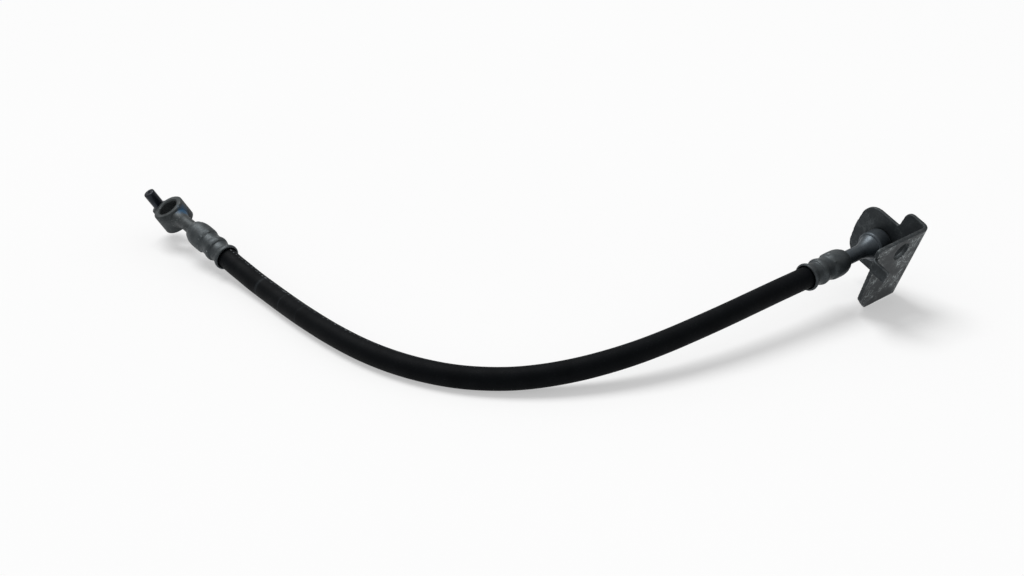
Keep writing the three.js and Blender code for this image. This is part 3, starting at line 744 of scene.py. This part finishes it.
back = FACE - PIECE_GAP
front = back - COLLAR_L
tip = FACE + SHEET + SPIGOT_OUT
floor_x = tip - PORT_DEPTH
shoulder = BRACKET_FERRULE_L - FERRULE_WALL
nipple_tip = shoulder - NIPPLE_L
passage_r, neck_r, collar_r = PASSAGE_D / 2, NECK_D / 2, COLLAR_D / 2
spigot_r, port_r = SPIGOT_D / 2, PORT_D / 2
body = softened([
    (nipple_tip, passage_r, 0.1), (nipple_tip, NIPPLE_D / 2, 0.3), (shoulder, NIPPLE_D / 2, 0.1),
    (shoulder, neck_r, 0.3), (front - CONE_L, neck_r, 1.8),
    (front - CONE_L * CONE_HOLLOW_AT, neck_r + CONE_HOLLOW_STEP, 2.6), (front, CONE_D / 2, 0.3),
    (front, collar_r - FRONT_CHAMFER, 0.2), (front + FRONT_CHAMFER_L, collar_r, 0.2),
    (back - BACK_CHAMFER, collar_r, 0.2), (back, collar_r - BACK_CHAMFER, 0.15), (back, spigot_r, 0.1),
    (tip - SPIGOT_CHAMFER, spigot_r, 0.2), (tip, spigot_r - SPIGOT_CHAMFER, 0.2),
    (tip, port_r + PORT_CHAMFER, 0.1)])
thread = [(x, port_r) for x in np.arange(tip - 0.7, floor_x + 1.5, -0.1)]
seat = softened([
    (floor_x + 0.6, port_r, 0.2), (floor_x, port_r, 0.1), (floor_x - PORT_SEAT_L, passage_r, 0.1),
    (nipple_tip + 0.5, passage_r, 0)])
THREAD_DEPTH = 0.5
THREAD_FROM, THREAD_TO = floor_x + 1.2, tip - 0.5


def thread_marks(x, radius, angle):
    """Winds a groove into the port's wall, fading out at both ends of the thread."""
    if abs(radius - port_r) > 1e-6 or not THREAD_FROM < x < THREAD_TO:
        return radius
    phase = (x / PITCH + angle / math.tau) % 1.0
    fade = min(1.0, x - THREAD_FROM, (THREAD_TO - x) / 0.5)
    return radius + THREAD_DEPTH * fade * (1 - abs(2 * phase - 1)) ** 0.8


fitting = blank(*turned(body + thread + seat, 96, thread_marks))
finished(fitting, "pipe_fitting", turned_metal, "female_fitting", bracket_place)

# %% [markdown]
# ## The bracket
# One sheet, stamped and folded: a base across the fitting, a leaf along the hose with the bolt hole, an ear
# in the corner and a small tab folded out of the leaf's edge. The folded strip is made first, then trimmed
# by the two outlines that the press cut, so the folds keep their thickness all the way round.

# %% Outlines of the sheet
BRACKET_ROLL, FOLD_R = 21.7, 3.8
LEAF_OFFSET, BASE_SIDE, BASE_ARCH = 19.0, 15.8, 0.7
BASE_TOP, BASE_LOW_R, BASE_TOP_R = 14.8, 9.0, 9.0
LOW, TOP = -18.0, 25.3
EAR_ROOT, EAR_TIP, EAR_R, NOTCH_R = -4.8, -5.3, 4.0, 1.5
LEAF_LENGTH, LEAF_TOP_R, LEAF_WAIST, LEAF_TAPER = 36.0, 3.0, 33.8, 2.5
LEAF_CORNER_Z, LEAF_CORNER_X, LEAF_LOW_R = -9.5, 23.5, 1.8
TAB_FACE, TAB_LOW, TAB_HIGH, TAB_RELIEF, TAB_REACH = 37.5, 13.5, 20.0, 0.8, 9.0
TAB_OVERLAP = 2.0  # how far the tab reaches into the leaf, so that the two join
BOLT_HOLE_D, BOLT_HOLE_X, BOLT_HOLE_Z = 10.0, 15.5, 17.0


def arc(cx, cy, radius, start, stop, count=14):
    angles = np.radians(np.linspace(start, stop, count + 1))
    return [(cx + radius * math.cos(a), cy + radius * math.sin(a)) for a in angles]


def slab(outline, low, high, place=Matrix()):
    """A flat outline, given a thickness along z."""
    n = len(outline)
    points = [(*p, low) for p in outline] + [(*p, high) for p in outline]
    sides = [(i, (i + 1) % n, n + (i + 1) % n, n + i) for i in range(n)]
    return blank(points, [tuple(range(n))[::-1], tuple(range(n, 2 * n)), *sides], place)


print("the sheet is", SHEET, "mm thick, and the leaf is", LEAF_LENGTH, "mm long")


# %% The folded strip, and the two outlines that trim it
ACROSS = Matrix(((0, 0, 1, 0), (1, 0, 0, 0), (0, 1, 0, 0), (0, 0, 0, 1)))  # an outline in the base's plane
ALONG = Matrix(((1, 0, 0, 0), (0, 0, 1, 0), (0, 1, 0, 0), (0, 0, 0, 1)))  # an outline in the leaf's plane
inner = FOLD_R - SHEET
side = BASE_SIDE + OVERCUT
fold_x, fold_y = SHEET - FOLD_R, FOLD_R - LEAF_OFFSET
strip = slab([
    (0, side), *arc(fold_x, fold_y, inner, 0, -90), (-TAB_FACE, SHEET - LEAF_OFFSET),
    (-TAB_FACE, -LEAF_OFFSET), *arc(fold_x, fold_y, FOLD_R, -90, 0), (SHEET, side)], LOW, TOP)
base_cut = slab([
    (-LEAF_OFFSET - OVERCUT, LOW), *arc(BASE_SIDE - BASE_LOW_R, LOW + BASE_LOW_R, BASE_LOW_R, -90, 0),
    (BASE_SIDE + BASE_ARCH, (LOW + BASE_LOW_R + BASE_TOP - BASE_TOP_R) / 2),
    *arc(BASE_SIDE - BASE_TOP_R, BASE_TOP - BASE_TOP_R, BASE_TOP_R, 0, 90),
    *arc(EAR_ROOT + NOTCH_R, BASE_TOP + NOTCH_R, NOTCH_R, -90, -180, 6),
    *arc(EAR_TIP - EAR_R, TOP - EAR_R, EAR_R, 0, 90), (-LEAF_OFFSET - OVERCUT, TOP)],
    -TAB_FACE - OVERCUT, SHEET + OVERCUT, ACROSS)
tab_root = FOLD_R - TAB_FACE
tab_top, tab_foot = TAB_HIGH + TAB_RELIEF, TAB_LOW - TAB_RELIEF
leaf_outline = softened([
    (SHEET + OVERCUT, LOW, 0), (SHEET + OVERCUT, TOP, 0), (-LEAF_LENGTH, TOP, LEAF_TOP_R),
    (-LEAF_LENGTH, tab_top), (tab_root, tab_top), (tab_root, tab_foot), (-LEAF_WAIST, tab_foot),
    (LEAF_TAPER - LEAF_WAIST, LEAF_CORNER_Z, LEAF_LOW_R), (-LEAF_CORNER_X, LOW, LEAF_LOW_R)],
    fillet=0.4, steps=8)
leaf_cut = slab(leaf_outline, -LEAF_OFFSET - OVERCUT, side + OVERCUT, ALONG)
print("the leaf's outline has", len(leaf_outline), "points")

# %% The tab and the holes, and the whole sheet
tab_fold = SHEET - LEAF_OFFSET - FOLD_R
tab_end = -LEAF_OFFSET - TAB_REACH
tab = slab([
    (tab_root + TAB_OVERLAP, -LEAF_OFFSET), (tab_root + TAB_OVERLAP, SHEET - LEAF_OFFSET),
    *arc(tab_root, tab_fold, FOLD_R, 90, 180), (-TAB_FACE, tab_end), (SHEET - TAB_FACE, tab_end),
    *arc(tab_root, tab_fold, inner, 180, 90)], TAB_LOW, TAB_HIGH)
bolt_axis = Matrix.Translation((-BOLT_HOLE_X, 0, BOLT_HOLE_Z)) @ turn("Z", 90)
bolt_hole = bar(-LEAF_OFFSET - OVERCUT, SHEET - LEAF_OFFSET + OVERCUT, BOLT_HOLE_D / 2, bolt_axis)
spigot_hole = bar(-OVERCUT, SHEET + OVERCUT, SPIGOT_D / 2 + PIECE_GAP)
for trim in (base_cut, leaf_cut):
    step = strip.modifiers.new("trim", "BOOLEAN")
    step.operation, step.object, step.solver = "INTERSECT", trim, "MANIFOLD"
folded = forged([strip, tab], [bolt_hole, spigot_hole], cell=0.3, rounds=3)
for trim in (base_cut, leaf_cut):
    bpy.data.objects.remove(trim)
print("the sheet has", len(folded.data.polygons), "small faces")

# %% A handled sheet: plated like the rest, with light scuffs and scratches on the leaf
sheet_metal, tree, shader, tone = plated("sheet metal", (0.015, 0.019, 0.022), (0.042, 0.050, 0.055),
                                         (0.19, 0.21, 0.22), 0.56, metallic=0.6, cloud=110.0)
base_place = bracket_place @ Matrix.Translation((FACE, 0, 0)) @ turn("X", BRACKET_ROLL)
spot = add(tree, "ShaderNodeTexCoord").outputs["Object"]
leaf_out = -base_place.col[1].xyz
normal = add(tree, "ShaderNodeNewGeometry").outputs["Normal"]
facing = add(tree, "ShaderNodeVectorMath", {0: normal, 1: leaf_out}, operation="DOT_PRODUCT")
leaf_side = ramp(tree, facing.outputs["Value"], 0.9, 0.98, 0.12, 1.0)
scrapes = []
for size, warp in ((190.0, 0.6), (430.0, 1.5)):
    wander = noise(tree, spot, size, 1.0, Distortion=warp)
    off = maths(tree, "ABSOLUTE", maths(tree, "SUBTRACT", wander, 0.5))
    scrapes.append(ramp(tree, off, 0.006, 0.026, 1.0, 0.0))
lines = maths(tree, "MAXIMUM", scrapes[0], scrapes[1])
rubbing = ramp(tree, noise(tree, spot, 110.0, 4.0, Roughness=0.6), 0.45, 0.56, 0.0, 0.95)
scuffs = times(tree, times(tree, lines, leaf_side), rubbing)
tree.links.new(blend_colour(tree, scuffs, tone, (0.33, 0.365, 0.37)), shader.inputs["Base Color"])
finished(folded, "folded_bracket", sheet_metal, "bracket", base_place, crease=60)

# %% [markdown]
# ## Floor and light
# The line lies on a plain white table in soft light. One broad lamp, high up behind and to the left, makes
# the pale shadows. It is a sun lamp, because its light is equally strong everywhere, so the table has one
# even tone up to the picture's edges. The world gives the rest.

# %% Floor
floor_material, tree, shader = new_material("table")
cloudy = noise(tree, add(tree, "ShaderNodeTexCoord").outputs["Object"], 3.0, 2.0)
paper = blend_colour(tree, cloudy, (0.90, 0.90, 0.90), (0.92, 0.92, 0.92))
ray = add(tree, "ShaderNodeLightPath").outputs
seen = maths(tree, "ADD", ray["Is Camera Ray"], ray["Is Glossy Ray"])
seen = add(tree, "ShaderNodeMath", {0: seen, 1: ray["Is Transmission Ray"]}, use_clamp=True).outputs[0]
tree.links.new(blend_colour(tree, seen, (0.45, 0.45, 0.45), paper), shader.inputs["Base Color"])
GLOW_SHARE = 0.42  # keeps the shadows as pale as a bright studio makes them
glow = add(tree, "ShaderNodeEmission", {"Color": (1.0, 1.0, 1.0, 1.0), "Strength": 1.0})
glowing = times(tree, seen, GLOW_SHARE)
both = add(tree, "ShaderNodeMixShader", {0: glowing, 1: shader.outputs[0], 2: glow.outputs[0]})
tree.links.new(both.outputs[0], tree.nodes["Material Output"].inputs["Surface"])
shader.inputs["Roughness"].default_value = 0.9
shader.inputs["Specular IOR Level"].default_value = 0.1
FLOOR_HALF = 4.0
table = bpy.data.meshes.new("table")
corners = [(x * FLOOR_HALF, y * FLOOR_HALF, 0) for x, y in ((-1, -1), (1, -1), (1, 1), (-1, 1))]
table.from_pydata(corners, [], [(0, 1, 2, 3)])
table.materials.append(floor_material)
floor = bpy.data.objects.new("table", table)
bpy.context.scene.collection.objects.link(floor)
print("the table is", 2 * FLOOR_HALF, "m wide")

# %% Lamp and world
WINDOW_FROM = (-0.38, 0.36, 1.0)
WINDOW_WIDTH = 34.0  # degrees across, as seen from the table
WINDOW_STRENGTH, SKY_STRENGTH = 2.25, 0.42
window_data = bpy.data.lights.new("window", "SUN")
window_data.energy = WINDOW_STRENGTH
window_data.angle = math.radians(WINDOW_WIDTH)
window = bpy.data.objects.new("window", window_data)
window.rotation_euler = Vector(WINDOW_FROM).to_track_quat("Z", "Y").to_euler()
bpy.context.scene.collection.objects.link(window)
world = bpy.data.worlds.new("studio")
world.use_nodes = True
sky = world.node_tree.nodes["Background"]
sky.inputs["Color"].default_value = (1.0, 1.0, 1.0, 1.0)
sky.inputs["Strength"].default_value = SKY_STRENGTH
bpy.context.scene.world = world
bpy.context.scene.view_settings.view_transform = "Standard"
print("the lamp stands", round(math.degrees(math.asin(Vector(WINDOW_FROM).normalized().z))), "degrees high")
